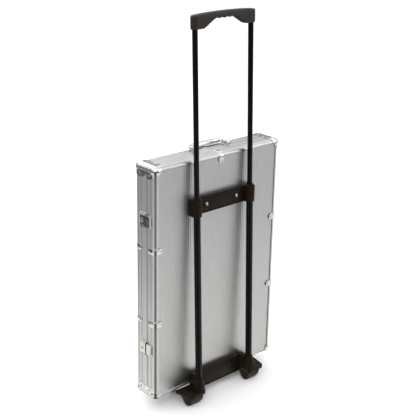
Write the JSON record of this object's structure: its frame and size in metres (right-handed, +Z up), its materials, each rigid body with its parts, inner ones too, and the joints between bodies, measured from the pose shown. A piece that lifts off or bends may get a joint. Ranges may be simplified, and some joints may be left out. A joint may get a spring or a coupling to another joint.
{
  "type": "poker chip case",
  "caption": "Slim aluminium poker chip case with chrome corners, side latches, a folding carry handle and a telescopic pull trolley on roller wheels.",
  "frame": {"origin": "on the floor under the middle of the object's box", "axes": "+X to the right across the trolley side, +Y from the trolley into the case, +Z up"},
  "size_m": [0.392, 0.1189, 0.9146],
  "materials": {
    "ribbed_aluminium": "satin, fine vertical ribs",
    "frame_aluminium": "satin anodised extrusion",
    "chrome": "bright plated",
    "rivet_steel": "plain zinc plated",
    "black_screw": "black oxide",
    "brass": "polished",
    "black_tube": "black gloss powder coat",
    "trolley_plastic": "moulded, brown black",
    "wheel_plastic": "moulded black",
    "wheel_rubber": "smooth black rubber",
    "flocked_foam": "black flock over foam"
  },
  "bodies": {
    "lid_half": {"lid_panel": "ribbed_aluminium", "lid_frame_left": "frame_aluminium", "lid_frame_right": "frame_aluminium", "lid_frame_top": "frame_aluminium", "lid_frame_bottom": "frame_aluminium", "lid_corners": "chrome", "lid_edge_clamps": "chrome", "lid_rivets": "rivet_steel", "lid_foam": "flocked_foam", "hinge_leaves_lid": "rivet_steel", "hinge_pins": "rivet_steel", "latch_catches": "chrome", "trolley_bracket": "trolley_plastic", "bracket_screws": "rivet_steel", "outer_tube_left": "black_tube", "outer_tube_right": "black_tube", "tube_collars": "trolley_plastic", "trolley_base": "trolley_plastic", "trolley_base_screws": "black_screw", "wheel_axles": "rivet_steel"},
    "base_half": {"base_panel": "ribbed_aluminium", "base_frame_left": "frame_aluminium", "base_frame_right": "frame_aluminium", "base_frame_top": "frame_aluminium", "base_frame_bottom": "frame_aluminium", "base_corners": "chrome", "base_edge_clamps": "chrome", "base_rivets": "rivet_steel", "tray_floor": "flocked_foam", "tray_side_rails": "flocked_foam", "tray_cross_rails": "flocked_foam", "tray_dividers": "flocked_foam", "tray_ridges": "flocked_foam", "hinge_leaves_base": "rivet_steel", "stand_feet": "trolley_plastic", "foot_pads": "wheel_rubber", "latch_bodies": "chrome", "latch_pins": "rivet_steel", "handle_brackets": "chrome", "handle_pins": "rivet_steel"},
    "pull_handle": {"inner_tube_left": "black_tube", "inner_tube_right": "black_tube", "tube_end_plugs": "trolley_plastic", "trolley_grip": "trolley_plastic", "grip_screws": "black_screw"},
    "wheel_left": {"wheel_hub_left": "wheel_plastic", "wheel_tyre_left": "wheel_rubber"},
    "wheel_right": {"wheel_hub_right": "wheel_plastic", "wheel_tyre_right": "wheel_rubber"},
    "latch_lever_upper": {"lever_upper": "chrome"},
    "latch_hook_upper": {"hook_upper": "chrome"},
    "latch_key_upper": {"key_cylinder_upper": "brass"},
    "latch_lever_lower": {"lever_lower": "chrome"},
    "latch_hook_lower": {"hook_lower": "chrome"},
    "latch_key_lower": {"key_cylinder_lower": "brass"},
    "top_handle": {"carry_handle": "chrome"}
  },
  "joints": [
    {"name": "case_hinge", "type": "hinge", "parent": "lid_half", "child": "base_half", "pos_m": [0.193, 0.0155, 0.3145], "axis": [0, 0, -1], "range_deg": [0, 100]},
    {"name": "pull_handle_slide", "type": "slide", "parent": "lid_half", "child": "pull_handle", "axis": [0, 0.0384, 0.9993], "range_m": [-0.366, 0]},
    {"name": "wheel_left_spin", "type": "hinge", "parent": "lid_half", "child": "wheel_left", "pos_m": [-0.094, -0.0375, 0.0125], "axis": [1, 0, 0], "continuous": true},
    {"name": "wheel_right_spin", "type": "hinge", "parent": "lid_half", "child": "wheel_right", "pos_m": [0.094, -0.0375, 0.0125], "axis": [1, 0, 0], "continuous": true},
    {"name": "carry_handle_swing", "type": "hinge", "parent": "base_half", "child": "top_handle", "pos_m": [0.006, 0.0245, 0.604], "axis": [1, 0, 0], "range_deg": [0, 100]},
    {"name": "latch_lever_upper_swing", "type": "hinge", "parent": "base_half", "child": "latch_lever_upper", "pos_m": [-0.1927, 0.034, 0.4715], "axis": [0, 0, -1], "range_deg": [0, 70]},
    {"name": "latch_hook_upper_swing", "type": "hinge", "parent": "latch_lever_upper", "child": "latch_hook_upper", "pos_m": [-0.1927, 0.022, 0.4715], "axis": [0, 0, -1], "range_deg": [-70, 0]},
    {"name": "key_upper_turn", "type": "hinge", "parent": "latch_lever_upper", "child": "latch_key_upper", "pos_m": [-0.1895, 0.0275, 0.4715], "axis": [1, 0, 0], "range_deg": [0, 90]},
    {"name": "latch_lever_lower_swing", "type": "hinge", "parent": "base_half", "child": "latch_lever_lower", "pos_m": [-0.1927, 0.034, 0.1575], "axis": [0, 0, -1], "range_deg": [0, 70]},
    {"name": "latch_hook_lower_swing", "type": "hinge", "parent": "latch_lever_lower", "child": "latch_hook_lower", "pos_m": [-0.1927, 0.022, 0.1575], "axis": [0, 0, -1], "range_deg": [-70, 0]},
    {"name": "key_lower_turn", "type": "hinge", "parent": "latch_lever_lower", "child": "latch_key_lower", "pos_m": [-0.1895, 0.0275, 0.1575], "axis": [1, 0, 0], "range_deg": [0, 90]}
  ],
  "couplings": [
    {"joint": "latch_hook_upper_swing", "follows": "latch_lever_upper_swing", "ratio": -0.9},
    {"joint": "latch_hook_lower_swing", "follows": "latch_lever_lower_swing", "ratio": -0.9}
  ]
}
